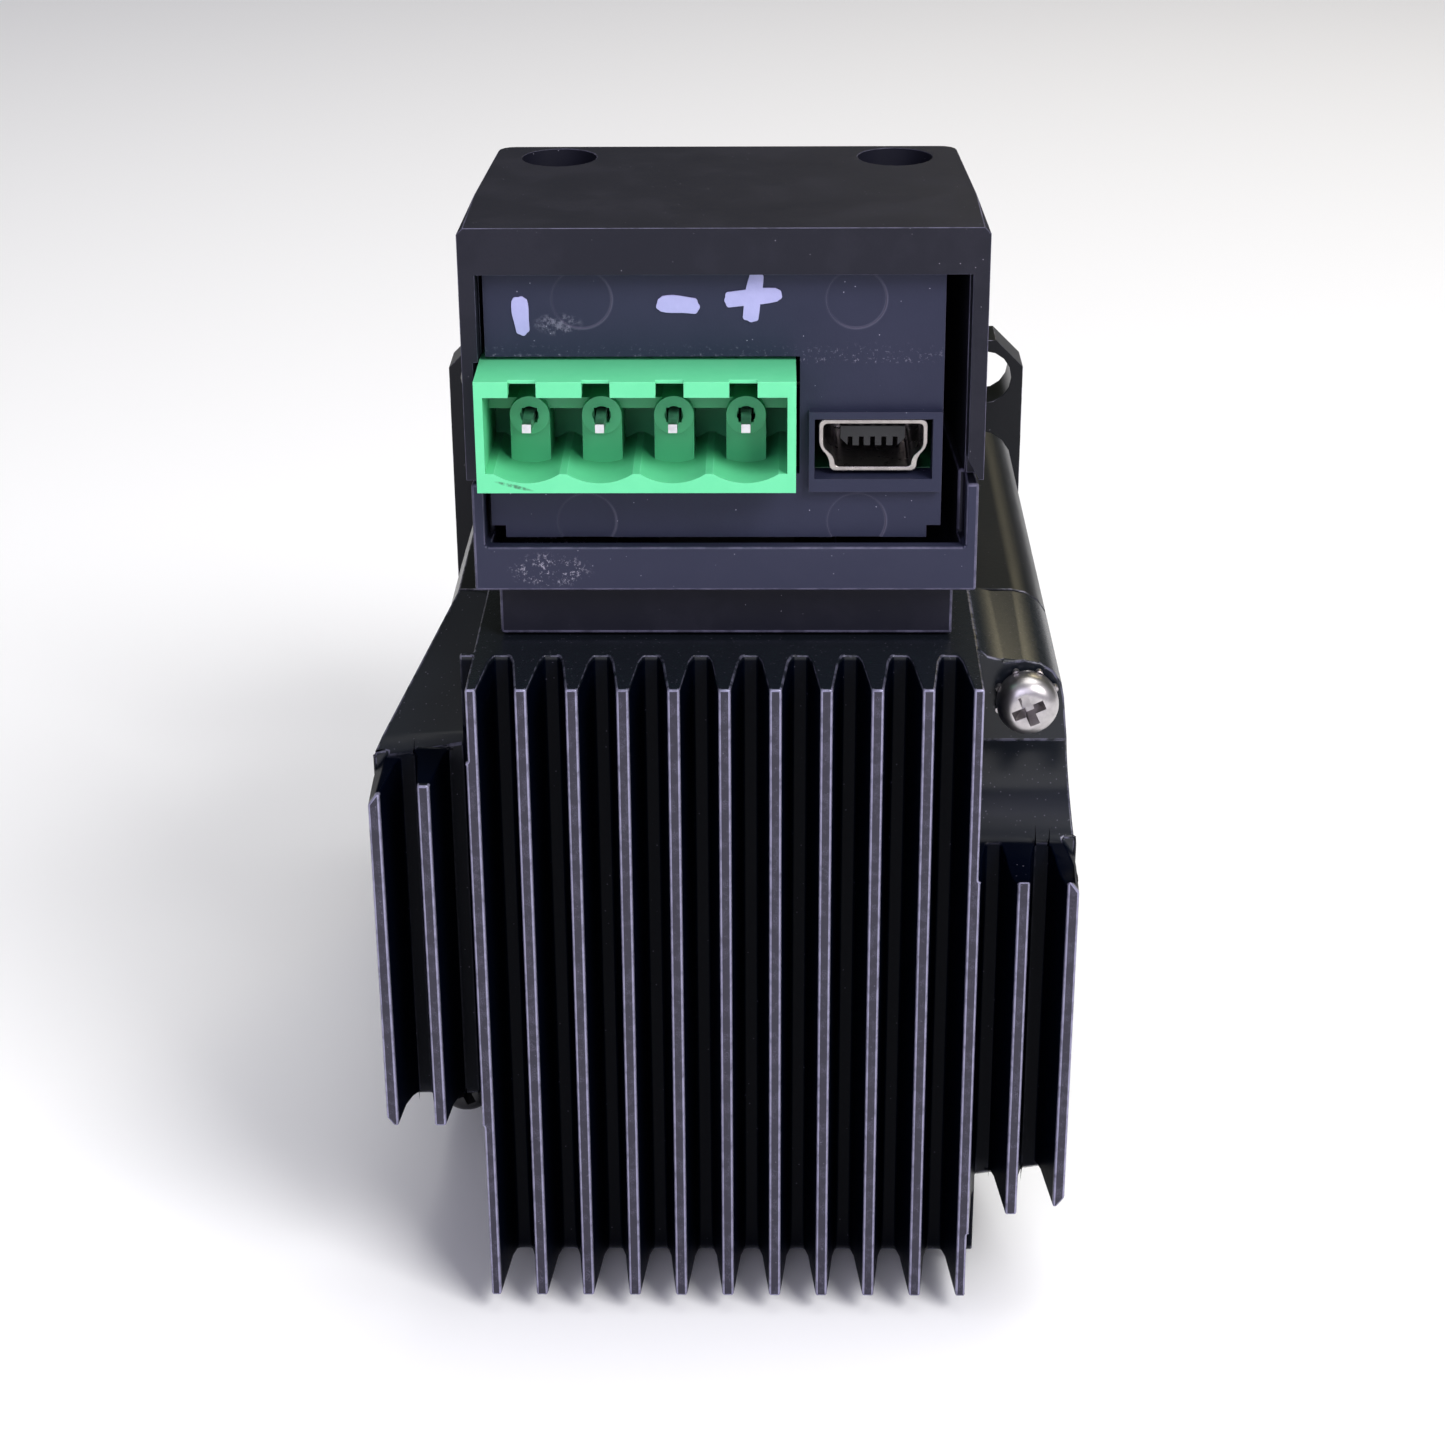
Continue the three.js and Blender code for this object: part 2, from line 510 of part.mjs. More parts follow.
// The socket narrows towards its lower side.
function usbOutline(inset) {
  const [left, right] = [usbLeft + inset, usbRight - inset];
  const [low, high] = [usbLow + inset, usbHigh - inset];
  const narrow = 0.95;
  return [[left, high], [left, 40.9], [left + narrow, 39.9], [left + narrow, low],
    [right - narrow, low], [right - narrow, 39.9], [right, 40.9], [right, high]];
}
piece('usb_shell', 'nickel', cut(prismY(usbOutline(0), [usbFront, usbFront + 9]),
  prismY(usbOutline(0.35), [usbFront - 1, usbFront + 8.6])));
piece('usb_tongue', 'chip', join(
  block([8.1, 12.9], [usbFront + 0.9, usbFront + 8], [40.85, 41.6]),
  block([8.1, 12.9], [usbFront + 5.5, usbFront + 8.2], [39.6, 41.9])));

export default unit;
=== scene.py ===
import json
import math

import bmesh
import bpy
from mathutils import Matrix, Vector

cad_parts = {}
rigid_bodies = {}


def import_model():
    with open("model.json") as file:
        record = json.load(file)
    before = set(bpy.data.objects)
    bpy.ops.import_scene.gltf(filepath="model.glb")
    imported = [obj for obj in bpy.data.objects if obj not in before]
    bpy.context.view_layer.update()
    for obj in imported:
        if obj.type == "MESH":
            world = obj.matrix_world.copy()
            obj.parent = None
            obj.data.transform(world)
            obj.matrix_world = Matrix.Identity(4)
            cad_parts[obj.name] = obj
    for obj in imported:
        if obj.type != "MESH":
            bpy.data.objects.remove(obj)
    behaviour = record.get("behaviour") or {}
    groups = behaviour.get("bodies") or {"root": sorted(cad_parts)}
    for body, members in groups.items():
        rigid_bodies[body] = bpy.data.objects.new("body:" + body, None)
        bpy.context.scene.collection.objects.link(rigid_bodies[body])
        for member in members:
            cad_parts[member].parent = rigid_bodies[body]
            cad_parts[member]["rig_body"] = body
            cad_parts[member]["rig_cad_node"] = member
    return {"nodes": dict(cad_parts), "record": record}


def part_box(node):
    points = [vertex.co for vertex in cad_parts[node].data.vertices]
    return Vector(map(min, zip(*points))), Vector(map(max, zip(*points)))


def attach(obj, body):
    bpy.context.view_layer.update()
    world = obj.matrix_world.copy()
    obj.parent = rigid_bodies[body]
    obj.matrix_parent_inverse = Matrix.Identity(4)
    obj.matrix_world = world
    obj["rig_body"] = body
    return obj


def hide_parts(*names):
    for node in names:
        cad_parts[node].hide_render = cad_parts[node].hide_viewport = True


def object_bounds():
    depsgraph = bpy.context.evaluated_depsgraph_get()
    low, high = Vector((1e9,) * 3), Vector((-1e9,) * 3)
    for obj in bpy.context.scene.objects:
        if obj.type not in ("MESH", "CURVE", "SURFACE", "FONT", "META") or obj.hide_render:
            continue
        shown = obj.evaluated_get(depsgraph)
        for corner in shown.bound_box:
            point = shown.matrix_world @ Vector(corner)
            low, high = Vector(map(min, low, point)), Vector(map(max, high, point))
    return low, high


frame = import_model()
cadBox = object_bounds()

# Everything is placed in millimetres from the shaft axis and the plane of the fin tips.
mm = 0.001
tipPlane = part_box("heat_sink_housing")[0].y
axisHeight = sum(corner.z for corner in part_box("ring_magnet")) / 2


def at(x, y, z):
    return Vector((x * mm, tipPlane + y * mm, axisHeight + z * mm))


# ---- modelling helpers
def pick(*pieces):
    if bpy.context.object and bpy.context.object.mode != "OBJECT":
        bpy.ops.object.mode_set(mode="OBJECT")
    bpy.ops.object.select_all(action="DESELECT")
    for piece in pieces:
        piece.select_set(True)
    bpy.context.view_layer.objects.active = pieces[0]


def settled(name):
    piece = bpy.context.object
    piece.name = name
    piece.data.name = name
    pick(piece)
    bpy.ops.object.transform_apply(location=True, rotation=True, scale=True)
    return piece


def block(name, x, y, z):
    pickNothing()
    low, high = at(x[0], y[0], z[0]), at(x[1], y[1], z[1])
    bpy.ops.mesh.primitive_cube_add(size=1, location=(low + high) / 2, scale=high - low)
    return settled(name)


def rod(name, middle, radius, length, sides=48):
    # a cylinder along y
    pickNothing()
    bpy.ops.mesh.primitive_cone_add(vertices=sides, radius1=radius * mm, radius2=radius * mm,
                                    depth=length * mm, location=at(*middle),
                                    rotation=(math.pi / 2, 0, 0))
    return settled(name)


def pushed(name, outline, y0, y1):
    # an x-z outline, as one filled face that is extruded along y
    mesh = bpy.data.meshes.new(name)
    mesh.from_pydata([at(x, y0, z) for x, z in outline], [], [range(len(outline))])
    piece = bpy.data.objects.new(name, mesh)
    bpy.context.scene.collection.objects.link(piece)
    pick(piece)
    bpy.ops.object.mode_set(mode="EDIT")
    bpy.ops.mesh.select_all(action="SELECT")
    bpy.ops.mesh.extrude_region_move(TRANSFORM_OT_translate={"value": (0, (y1 - y0) * mm, 0)})
    bpy.ops.mesh.select_all(action="SELECT")
    bpy.ops.mesh.normals_make_consistent(inside=False)
    bpy.ops.object.mode_set(mode="OBJECT")
    return piece


def pickNothing():
    if bpy.context.object and bpy.context.object.mode != "OBJECT":
        bpy.ops.object.mode_set(mode="OBJECT")
    bpy.ops.object.select_all(action="DESELECT")


def bake(piece, kind, **settings):
    pick(piece)
    modifier = piece.modifiers.new(kind.title(), kind)
    for key, value in settings.items():
        setattr(modifier, key, value)
    bpy.ops.object.modifier_apply(modifier=modifier.name)
    return piece


def combine(piece, operation, tools):
    for tool in tools:
        bake(piece, "BOOLEAN", operation=operation, object=tool, solver="EXACT")
        bpy.data.objects.remove(tool)
    return piece


def cut(piece, *tools):
    return combine(piece, "DIFFERENCE", tools)


def fuse(piece, *tools):
    return combine(piece, "UNION", tools)


def copyOf(name, node):
    # a node's loose triangles, merged and with its flat faces made whole again
    pick(frame["nodes"][node])
    piece = frame["nodes"][node].copy()
    piece.data = frame["nodes"][node].data.copy()
    piece.parent = None
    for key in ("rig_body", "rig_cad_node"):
        del piece[key]
    bpy.context.scene.collection.objects.link(piece)
    piece.name = piece.data.name = name
    piece.data.materials.clear()
    pick(piece)
    bpy.ops.object.mode_set(mode="EDIT")
    bpy.ops.mesh.select_all(action="SELECT")
    bpy.ops.mesh.remove_doubles(threshold=1e-6)
    bpy.ops.mesh.dissolve_limited(angle_limit=math.radians(1))
    bpy.ops.object.mode_set(mode="OBJECT")
    return piece


def roundOff(piece, width, segments=2, angle=30, clamp=True):
    # bevels the sharp edges, and marks the strips along outer edges for the materials' wear and painted
    # edge highlights
    for slot in range(2):
        piece.data.materials.append(None)
    bake(piece, "BEVEL", width=width * mm, segments=segments, limit_method="ANGLE",
         angle_limit=math.radians(angle), miter_outer="MITER_ARC", material=1, use_clamp_overlap=clamp)
    shape = bmesh.new()
    shape.from_mesh(piece.data)
    worn = []
    for face in shape.faces:
        around = [other for edge in face.edges for other in edge.link_faces if other != face]
        middle = face.calc_center_median()
        rise = sum(face.normal.dot(other.calc_center_median() - middle) for other in around)
        worn.append(1.0 if face.material_index == 1 and rise < 0 else 0.0)
        face.material_index = 0
    shape.to_mesh(piece.data)
    shape.free()
    piece.data.materials.clear()
    edge = piece.data.attributes.new("edge", "FLOAT", "FACE")
    edge.data.foreach_set("value", worn)
    return piece


def fit(piece, slot, material, *nodes, body="root"):
    # smooths a finished piece, gives it its finish and puts it on its body
    pick(piece)
    bpy.ops.object.shade_smooth_by_angle(angle=math.radians(35))
    bake(piece, "WEIGHTED_NORMAL", mode="FACE_AREA", weight=100, keep_sharp=True)
    piece.data.materials.clear()
    piece.data.materials.append(material)
    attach(piece, body)
    if nodes:
        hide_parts(*nodes)
    return piece


def edgesWhere(piece, test):
    # opens edit mode with only the edges that pass the test selected
    pick(piece)
    bpy.ops.object.mode_set(mode="EDIT")
    bpy.ops.mesh.select_mode(type="EDGE")
    bpy.ops.mesh.select_all(action="DESELECT")
    shape = bmesh.from_edit_mesh(piece.data)
    for edge in shape.edges:
        first, second = (corner.co for corner in edge.verts)
        edge.select_set(test(first, second))
    bmesh.update_edit_mesh(piece.data)


def bevelWhere(piece, width, segments, test):
    edgesWhere(piece, test)
    bpy.ops.mesh.bevel(offset=width * mm, segments=segments, affect="EDGES")
    bpy.ops.object.mode_set(mode="OBJECT")
    return piece


def squeeze(piece, scale, centre, test):
    edgesWhere(piece, test)
    bpy.ops.transform.resize(value=scale, center_override=at(*centre))
    bpy.ops.object.mode_set(mode="OBJECT")
    return piece


def turned(piece, degrees, centre):
    # turned about an axis along y through the centre
    pick(piece)
    bpy.ops.transform.rotate(value=math.radians(degrees), orient_axis="Y",
                             center_override=at(*centre))
    bpy.ops.object.transform_apply(location=True, rotation=True, scale=True)
    return piece


def place(node):
    # a node's box in the same millimetres: x, y and z, each as low and high
    low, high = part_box(node)
    return ((low.x / mm, high.x / mm), ((low.y - tipPlane) / mm, (high.y - tipPlane) / mm),
            ((low.z - axisHeight) / mm, (high.z - axisHeight) / mm))


def span(centre, size):
    return (centre - size / 2, centre + size / 2)


def arc(x, z, radius, start, end, steps):
    angles = [math.radians(start + (end - start) * i / steps) for i in range(steps + 1)]
    return [(x + radius * math.cos(a), z + radius * math.sin(a)) for a in angles]


# ---- shader maths
class Value:
    def __init__(self, shader, socket):
        self.shader = shader
        self.socket = socket

    def maths(self, operation, first, second=None):
        inputs = [first] if second is None else [first, second]
        return self.shader.node("Math", {"operation": operation}, inputs)["Value"]

    def __add__(self, other):
        return self.maths("ADD", self, other)

    def __sub__(self, other):
        return self.maths("SUBTRACT", self, other)

    def __mul__(self, other):
        return self.maths("MULTIPLY", self, other)

    def __truediv__(self, other):
        return self.maths("DIVIDE", self, other)

    def __pow__(self, other):
        return self.maths("POWER", self, other)

    def __radd__(self, other):
        return self.maths("ADD", other, self)

    def __rsub__(self, other):
        return self.maths("SUBTRACT", other, self)

    def __rmul__(self, other):
        return self.maths("MULTIPLY", other, self)

    def larger(self, other):
        return self.maths("MAXIMUM", self, other)

    def size(self):
        return self.maths("ABSOLUTE", self)

    def above(self, low, high):
        # 0 up to low, 1 from high, smooth between; low may be the larger, which turns it round
        node = self.shader.node("MapRange", {"interpolation_type": "SMOOTHSTEP"},
                                {"Value": self, "From Min": low, "From Max": high})
        return node["Result"]


class Shader:
    def __init__(self, name, colour, rough, metal=0.0, coat=0.0, coatRough=0.1, specular=0.5):
        self.material = bpy.data.materials.new(name)
        self.material.use_nodes = True
        self.tree = self.material.node_tree
        self.surface = self.tree.nodes["Principled BSDF"]
        plain = {"Base Color": (*colour, 1), "Roughness": rough, "Metallic": metal,
                 "Coat Weight": coat, "Coat Roughness": coatRough, "Specular IOR Level": specular}
        for key, value in plain.items():
            self.surface.inputs[key].default_value = value
        self.place = self.node("TexCoord", {}, {})["Object"]

    def node(self, kind, settings, inputs):
        node = self.tree.nodes.new("ShaderNode" + kind)
        for key, value in settings.items():
            setattr(node, key, value)
        pairs = enumerate(inputs) if isinstance(inputs, list) else inputs.items()
        for key, value in pairs:
            if isinstance(value, Value):
                self.tree.links.new(value.socket, node.inputs[key])
            else:
                node.inputs[key].default_value = value
        return {socket.name: Value(self, socket) for socket in reversed(node.outputs)}

    def set(self, name, value):
        self.tree.links.new(value.socket, self.surface.inputs[name])
        return self

    def stretched(self, x, y, z):
        return self.node("Mapping", {}, {"Vector": self.place, "Scale": (x, y, z)})["Vector"]

    def noise(self, size, detail=3.0, rough=0.55, place=None, warp=0.0):
        # size in millimetres
        return self.node("TexNoise", {}, {"Vector": place or self.place, "Scale": 1 / (size * mm),
                         "Detail": detail, "Roughness": rough, "Distortion": warp})["Fac"]

    def cells(self, size):
        return self.node("TexVoronoi", {}, {"Vector": self.place,
                         "Scale": 1 / (size * mm)})["Distance"]

    def axis(self):
        # x, y and z in millimetres from the shaft axis and the fin tips
        parts = self.node("SeparateXYZ", {}, {"Vector": self.place})
        return (parts["X"] / mm, (parts["Y"] - tipPlane) / mm, (parts["Z"] - axisHeight) / mm)

    def mix(self, mask, first, second):
        values = {"Factor": mask, 6: first if isinstance(first, Value) else (*first, 1),
                  7: second if isinstance(second, Value) else (*second, 1)}
        node = self.tree.nodes.new("ShaderNodeMix")
        node.data_type = "RGBA"
        for key, value in values.items():
            if isinstance(value, Value):
                self.tree.links.new(value.socket, node.inputs[key])
            else:
                node.inputs[key].default_value = value
        return Value(self, node.outputs[2])

    def specks(self, size, amount, patch):
        # small dots, in patches: amount is their share of a cell, patch the patches' size
        dots = self.cells(size).above(amount, amount * 0.6)
        return dots * self.noise(patch, 2.0).above(0.36, 0.5)

    def scratches(self, x, y, z, fineness):
        lines = self.noise(0.5, 2.0, 0.5, self.stretched(x, y, z), 0.6)
        return (lines - 0.5).size().above(fineness, fineness * 0.3)

    def edges(self):
        return self.node("Attribute", {"attribute_name": "edge"}, {})["Fac"]

    def bump(self, height, depth, strength=1.0):
        # depth in millimetres
        node = self.node("Bump", {}, {"Height": height, "Distance": depth * mm,
                                      "Strength": strength})
        return self.set("Normal", node["Normal"])


print("helpers ready")

# ---- materials
fins = {"pitch": 3.6, "depth": 6.3, "coreTop": 25.6, "tipHighlightAndWear": (0.25, 0.33)}


def castBlack():
    # the groove black is painted shade, the shoulder and land tones are painted light; worn is the bright
    # tone for rubbed edges and the painted tip highlight
    look = {"black": (0.0005, 0.0012, 0.0045), "shoulder": (0.007, 0.009, 0.013),
            "land": (0.022, 0.020, 0.034), "worn": (0.27, 0.26, 0.38), "dust": (0.16, 0.15, 0.20),
            "grain": 0.14}
    shader = Shader("castBlack", look["black"], 0.34, 0.0, 0.0, 0.22, 0.02)
    x, y, z = shader.axis()
    edges = shader.edges()
    patches = shader.noise(1.1, 4.0, 0.7)
    tips = y.above(0.55, 0.35)
    land = y.above(0.05, 0.02)
    bare = y.above(fins["depth"] - 0.1, fins["depth"] + 0.4)
    ends = z.size().above(fins["coreTop"] - 0.5, fins["coreTop"] - 0.2)
    outside = bare.larger(ends).larger(tips)
    # both long edges of every fin tip are painted bright: a painted highlight along the rounded edges,
    # with some rubbed wear
    aside = shader.node("Math", {"operation": "PINGPONG"}, [x, fins["pitch"] / 2])["Value"]
    tipHighlightAndWear = aside.above(*fins["tipHighlightAndWear"]) * y.above(0.32, 0.2) * aside.above(0.62, 0.5)
    rub = tipHighlightAndWear.larger(edges * tips) * (0.35 + 0.65 * patches.above(0.25, 0.6))
    otherEdges = edges * (1 - tips) * outside * patches.above(0.38, 0.6) * 0.30
    nicks = land * shader.scratches(700, 60, 2600, 0.022) * patches.above(0.47, 0.6) * 0.45
    dust = (shader.specks(0.8, 0.085, 2.5) * 0.4
            + outside * (1 - tips) * shader.specks(0.45, 0.13, 2.0) * 0.4)
    # wear here holds the painted highlight on the fin tips' edges as well as rubbed edges and nicks
    wear = (rub + otherEdges).larger(nicks)
    # painted shade: the grooves between the fins keep the darker black, while the shoulders, ends and tips
    # outside them get a lighter tone
    colour = shader.mix(outside, look["black"], look["shoulder"])
    # painted light: the flat fin tip lands are lighter still
    colour = shader.mix(land, colour, look["land"])
    colour = shader.mix(dust, colour, look["dust"])
    shader.set("Base Color", shader.mix(wear, colour, look["worn"]))
    shader.set("Metallic", wear * 0.55)
    shader.set("Roughness", 0.32 + shader.noise(0.6, 4.0) * 0.14)
    shader.set("Coat Weight", outside * 0.6)
    shader.bump(shader.noise(look["grain"], 3.0) + dust * 0.5, 0.010, 0.5)
    return shader.material


def bodyBlack():
    look = {"black": (0.005, 0.006, 0.008), "worn": (0.30, 0.29, 0.36)}
    shader = Shader("bodyBlack", look["black"], 0.3, 0.0, 0.06, 0.1, 0.16)
    wear = shader.edges() * shader.noise(2.2, 4.0, 0.7).above(0.42, 0.66) * 0.6
    cloud = shader.noise(7.0, 4.0)
    dust = shader.specks(1.1, 0.06, 5.0) * 0.6
    colour = shader.mix(cloud * 0.6, look["black"], (0.008, 0.008, 0.011))
    colour = shader.mix(dust, colour, (0.2, 0.19, 0.22))
    shader.set("Base Color", shader.mix(wear, colour, look["worn"]))
    shader.set("Metallic", wear * 0.6)
    shader.set("Roughness", 0.26 + cloud * 0.16)
    shader.bump(shader.noise(0.35, 3.0), 0.015, 0.4)
    return shader.material


def boxPlastic():
    look = {"black": (0.0042, 0.0046, 0.0115), "worn": (0.10, 0.095, 0.15),
            "dust": (0.36, 0.34, 0.42)}
    shader = Shader("boxPlastic", look["black"], 0.5, 0.0, 0.0, 0.2, 0.26)
    x, y, z = shader.axis()
    cloud = shader.noise(6.0, 4.0, 0.6)
    rub = shader.scratches(30, 500, 900, 0.016) * cloud.above(0.5, 0.6) * 0.25
    dust = shader.specks(0.8, 0.055, 5.0)
    # a dusty patch near the lower left corner of the base
    apart = (((x + 12.6) / 3.4) ** 2 + ((z - 31.8) / 1.5) ** 2).above(1.0, 0.1)
    grime = apart * shader.noise(0.35, 5.0, 0.8).above(0.55, 0.62) * 0.7
    # the outer edges are lighter: rubbed wear together with a painted highlight
    wear = shader.edges() * (0.45 + shader.noise(1.6, 4.0, 0.7).above(0.4, 0.6) * 0.55)
    low = z.above(38.4, 38.0) * y.above(9.5, 9.0)
    colour = shader.mix(cloud, look["black"], (0.008, 0.008, 0.016))
    colour = shader.mix(low, colour, (0.021, 0.023, 0.048))
    colour = shader.mix(rub, colour, (0.09, 0.085, 0.12))
    colour = shader.mix(dust * 0.6 + grime, colour, look["dust"])
    shader.set("Base Color", shader.mix(wear, colour, look["worn"]))
    shader.set("Roughness", 0.46 + cloud * 0.2)
    shader.bump(shader.noise(0.16, 2.0) * 0.6 + grime, 0.02, 0.45)
    return shader.material


def platePlastic(marks, radius):
    look = {"black": (0.012, 0.0145, 0.036), "dust": (0.34, 0.32, 0.42)}
    shader = Shader("platePlastic", look["black"], 0.52, 0.0, 0.0, 0.2, 0.26)
    x, y, z = shader.axis()
    cloud = shader.noise(5.0, 5.0, 0.62)
    colour = shader.mix(cloud, look["black"], (0.024, 0.026, 0.054))
    # painted highlight: the outer edges are lighter
    colour = shader.mix(shader.edges() * 0.6, colour, (0.11, 0.10, 0.15))
    # the moulding pins' shallow recesses get faint bright rings, a painted highlight that is stronger on
    # their lower right side
    for markX, markZ in marks:
        away = ((x - markX) ** 2 + (z - markZ) ** 2) ** 0.5
        side = 0.25 + 0.75 * (x - markX - z + markZ).above(-1, 2.5)
        rim = (away - radius).size().above(0.16, 0.03) * side
        colour = shader.mix(rim * 0.6, colour, (0.09, 0.085, 0.13))
    smudgeAway = (((x + 11.6) / 1.9) ** 2 + ((z - 49.6) / 0.9) ** 2).above(1.0, 0.2)
    smudge = smudgeAway * shader.noise(0.5, 4.0, 0.8).above(0.45, 0.65) * 0.35
    dust = shader.specks(0.9, 0.05, 6.0)
    low = (z - 46.9).above(1.6, 0.1) * (z - 46.9).above(-0.2, 0.0)
    grit = low * shader.noise(0.3, 5.0, 0.8).above(0.58, 0.66) * 0.45
    colour = shader.mix(dust + smudge + grit, colour, look["dust"])
    shader.set("Base Color", colour)
    shader.set("Roughness", 0.44 + cloud * 0.22)
    shader.bump(shader.noise(0.18, 2.0), 0.02, 0.4)
    return shader.material


def terminalGreen():
    look = {"green": (0.14, 0.66, 0.33), "deep": (0.10, 0.58, 0.27), "inside": (0.03, 0.27, 0.11)}
    shader = Shader("terminalGreen", look["green"], 0.42, 0.0, 0.0, 0.2, 0.45)
    cloud = shader.noise(2.5, 4.0, 0.6)
    x, y, z = shader.axis()
    colour = shader.mix(cloud, look["green"], look["deep"])
    # painted highlight: the outer edges are a brighter green
    colour = shader.mix(shader.edges() * 0.4, colour, (0.36, 0.92, 0.62))
    # painted shade: the moulding is darker further inside, away from its mouth and below the roof
    colour = shader.mix(y.above(4.9, 9.4) * z.above(46.9, 46.4), colour, look["inside"])
    scratch = (((x + 14.6) / 1.5) ** 2 + ((z - 39.4 + (x + 14.6) * 0.25) / 0.16) ** 2)
    stain = scratch.above(1.0, 0.3) * y.above(4.2, 4.0) * shader.noise(0.4, 4.0, 0.8).above(0.35, 0.6)
    shader.set("Base Color", shader.mix(stain * 0.8, colour, (0.03, 0.10, 0.05)))
    shader.set("Roughness", 0.36 + cloud * 0.16)
    shader.bump(shader.noise(0.3, 3.0), 0.012, 0.3)
    return shader.material


def plated(name, colour, rough, grain=0.25):
    shader = Shader(name, colour, rough, 1.0)
    cloud = shader.noise(0.7, 4.0, 0.6)
    darker = tuple(part * 0.62 for part in colour)
    shader.set("Base Color", shader.mix(cloud.above(0.35, 0.8) * 0.7, colour, darker))
    shader.set("Roughness", rough * 0.75 + cloud * rough * 0.6)
    shader.bump(shader.noise(grain, 3.0), 0.008, 0.3)
    return shader.material


def plain(name, colour, rough, metal=0.0, grain=0.3, depth=0.02, second=None, patch=3.0):
    shader = Shader(name, colour, rough, metal)
    cloud = shader.noise(patch, 4.0, 0.6)
    second = second or tuple(part * 0.7 for part in colour)
    shader.set("Base Color", shader.mix(cloud, colour, second))
    shader.set("Roughness", rough * 0.85 + cloud * rough * 0.3)
    shader.bump(shader.noise(grain, 3.0), depth, 0.4)
    return shader.material


def turnedSteel():
    shader = Shader("turnedSteel", (0.55, 0.55, 0.57), 0.24, 1.0)
    rings = shader.noise(0.9, 3.0, 0.6, shader.stretched(0.02, 6, 0.02))
    shader.set("Base Color", shader.mix(rings, (0.60, 0.60, 0.62), (0.40, 0.40, 0.42)))
    shader.set("Roughness", 0.16 + rings * 0.2)
    shader.bump(rings, 0.004, 0.3)
    return shader.material


def laminated():
    shader = Shader("laminated", (0.2, 0.21, 0.23), 0.45, 0.8)
    x, y, z = shader.axis()
    sheets = shader.node("Math", {"operation": "PINGPONG"}, [y, 0.25])["Value"] / 0.25
    seam = sheets.above(0.25, 0.05)
    shader.set("Base Color", shader.mix(seam, (0.24, 0.25, 0.28), (0.05, 0.05, 0.06)))
    shader.set("Roughness", 0.4 + seam * 0.3)
    shader.bump(1 - seam, 0.03, 0.5)
    return shader.material


def wound():
    shader = Shader("wound", (0.55, 0.2, 0.07), 0.32, 0.7, 0.4)
    x, y, z = shader.axis()
    strand = [y + shader.noise(4.0) * 0.6, 0.2]
    turns = shader.node("Math", {"operation": "PINGPONG"}, strand)["Value"] / 0.2
    shader.set("Base Color", shader.mix(turns, (0.62, 0.24, 0.08), (0.22, 0.07, 0.03)))
    shader.set("Roughness", 0.25 + turns * 0.2)
    shader.bump(turns, 0.06, 0.6)
    return shader.material


ejector = {"places": [(-9.9, 51.4), (9.2, 51.4), (-9.9, 35.0), (9.4, 35.0)], "radius": 2.1,
           "depth": 0.07}

material = {
    "cast_black": castBlack(),
    "body_black": bodyBlack(),
    "box_plastic": boxPlastic(),
    "plate_plastic": platePlastic(ejector["places"], ejector["radius"]),
    "terminal_green": terminalGreen(),
    "tin_pin": plated("tinPin", (0.66, 0.66, 0.68), 0.3),
    "usb_nickel": plated("usbNickel", (0.42, 0.39, 0.37), 0.28),
    "nickel": plated("nickelScrew", (0.50, 0.475, 0.48), 0.32),
    "screw_steel": plated("screwSteel", (0.50, 0.50, 0.52), 0.34),
    "screw_black": plain("screwBlack", (0.02, 0.02, 0.022), 0.4, 0.5),
    "machined_steel": turnedSteel(),
    "lamination": laminated(),
    "copper_winding": wound(),
    "magnet_grey": plain("magnetGrey", (0.09, 0.09, 0.10), 0.4, 0.6),
    "circuit_board": plain("circuitBoard", (0.015, 0.16, 0.055), 0.35, 0.0, 0.6, 0.02,
                           (0.01, 0.10, 0.04), 1.2),
    "chip_black": plain("chipBlack", (0.016, 0.016, 0.018), 0.5),
    "canister": plated("canister", (0.62, 0.63, 0.66), 0.3),
    "thermal_pad": plain("thermalPad", (0.30, 0.36, 0.48), 0.85, 0.0, 0.4, 0.05),
    "wire_insulation": plain("wireInsulation", (0.30, 0.02, 0.02), 0.5),
    "paint": plain("markPaint", (0.33, 0.32, 0.58), 0.55, 0.0, 0.25, 0.03, (0.42, 0.41, 0.68), 0.8),
}
print("materials ready")

# ---- camera, floor and light
camera = {"place": (2.99, -189.39, 108.56), "yaw": -0.949, "pitch": 24.284, "roll": 0.368, "lens": 73.3}


def addCamera():
    yaw, pitch, roll = (math.radians(camera[key]) for key in ("yaw", "pitch", "roll"))
    ahead = Vector((math.sin(yaw) * math.cos(pitch), math.cos(yaw) * math.cos(pitch),
                    -math.sin(pitch)))
    right = Vector((math.cos(yaw), -math.sin(yaw), 0))
    down = ahead.cross(right)
    leanRight = math.cos(roll) * right + math.sin(roll) * down
    leanDown = math.cos(roll) * down - math.sin(roll) * right
    data = bpy.data.cameras.new("viewCamera")
    data.lens = camera["lens"]
    data.clip_start = 0.005
    viewer = bpy.data.objects.new("viewCamera", data)
    bpy.context.scene.collection.objects.link(viewer)
    turn = Matrix((leanRight, -leanDown, -ahead)).transposed().to_4x4()
    viewer.matrix_world = Matrix.Translation(at(*camera["place"])) @ turn
    bpy.context.scene.camera = viewer


def addFloor():
    pickNothing()
    bpy.ops.mesh.primitive_plane_add(size=6, location=(0, 0, cadBox[0][2] - 0.0002))
    floor = settled("floor")
    shader = Shader("floorPaper", (0.93, 0.93, 0.935), 0.9, 0.0, 0.0, 0.2, 0.2)
    shader.set("Roughness", 0.85 + shader.noise(2.0) * 0.1)
    floor.data.materials.append(shader.material)


